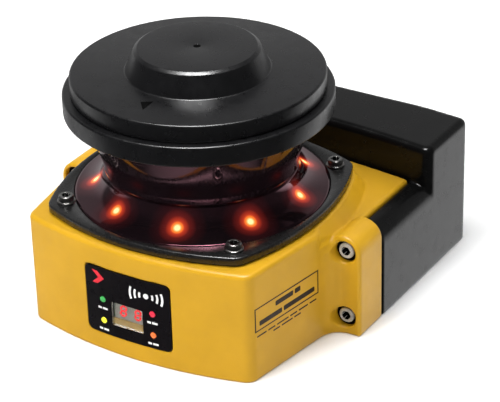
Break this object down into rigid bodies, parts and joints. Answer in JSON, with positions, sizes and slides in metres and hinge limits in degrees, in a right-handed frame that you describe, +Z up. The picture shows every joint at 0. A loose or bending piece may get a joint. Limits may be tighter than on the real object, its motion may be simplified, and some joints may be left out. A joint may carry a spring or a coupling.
{
  "type": "lidar scanner module",
  "caption": "Compact safety laser scanner: domed round head over a dark conical scan window, yellow sensor body with a display panel, and a black rear cradle with round connectors.",
  "frame": {"origin": "the point of the base plane on the mirror's spin axis", "axes": "+Z up along the spin axis, -Y towards the front with the display, +X to the right seen from the front"},
  "size_m": [0.133, 0.1429, 0.1045],
  "materials": {
    "yellow": "semi-gloss yellow powder paint on cast alloy",
    "black_plastic": "fine-textured black moulding",
    "io_black": "satin black paint",
    "flange_grey": "satin dark grey",
    "window": "polished dark infrared-pass plastic",
    "seal": "matt black rubber",
    "steel": "turned steel",
    "alloy": "machined aluminium",
    "board": "green solder mask",
    "led_red": "clear lens, lit red",
    "panel": "printed black membrane",
    "screen": "clear grey display window",
    "digits": "seven-segment display, two digits lit red",
    "status_green": "tinted light pipe",
    "status_amber": "tinted light pipe",
    "status_red": "tinted light pipe",
    "status_orange": "tinted light pipe",
    "lens_glass": "ground optical glass",
    "mirror": "first-surface coating",
    "copper": "copper windings on a laminated core"
  },
  "bodies": {
    "housing": {"base_cover": "black_plastic", "base_screw_1": "steel", "base_screw_2": "steel", "base_screw_3": "steel", "base_screw_4": "steel", "coupling_screw_1": "steel", "coupling_screw_2": "steel", "coupling_screw_3": "steel", "coupling_screw_4": "steel", "detector_board": "board", "digit_display": "digits", "display_board": "board", "display_panel": "panel", "display_window": "screen", "encoder_sensor": "black_plastic", "ethernet_cap": "seal", "ethernet_connector": "steel", "flange_gasket": "seal", "flange_screw_1": "steel", "flange_screw_2": "steel", "flange_screw_3": "steel", "flange_screw_4": "steel", "head_post": "alloy", "head_ring": "black_plastic", "indicator_skirt": "window", "interlock_led": "status_amber", "io_board": "board", "io_gasket": "seal", "io_housing": "io_black", "laser_module": "alloy", "led_ring_board": "board", "lens_barrel": "black_plastic", "link_connector": "black_plastic", "lower_bearing": "steel", "main_board": "board", "motor_bracket": "alloy", "motor_housing": "alloy", "motor_stator": "copper", "power_connector": "steel", "receiver_lens": "lens_glass", "run_led": "status_green", "sector_led_1": "led_red", "sector_led_2": "led_red", "sector_led_3": "led_red", "sector_led_4": "led_red", "sector_led_5": "led_red", "sector_led_6": "led_red", "sector_led_7": "led_red", "sector_led_8": "led_red", "sensor_housing": "yellow", "stop_led": "status_red", "top_cover": "black_plastic", "upper_bearing": "steel", "warning_led": "status_orange", "window": "window", "window_flange": "flange_grey"},
    "rotor": {"rotor_shaft": "steel", "encoder_disk": "alloy", "mirror_carrier": "black_plastic", "scan_mirror": "mirror"}
  },
  "joints": [
    {"name": "mirror_spin", "type": "hinge", "parent": "housing", "child": "rotor", "pos_m": [0, 0, 0.067], "axis": [0, 0, 1], "continuous": true}
  ]
}
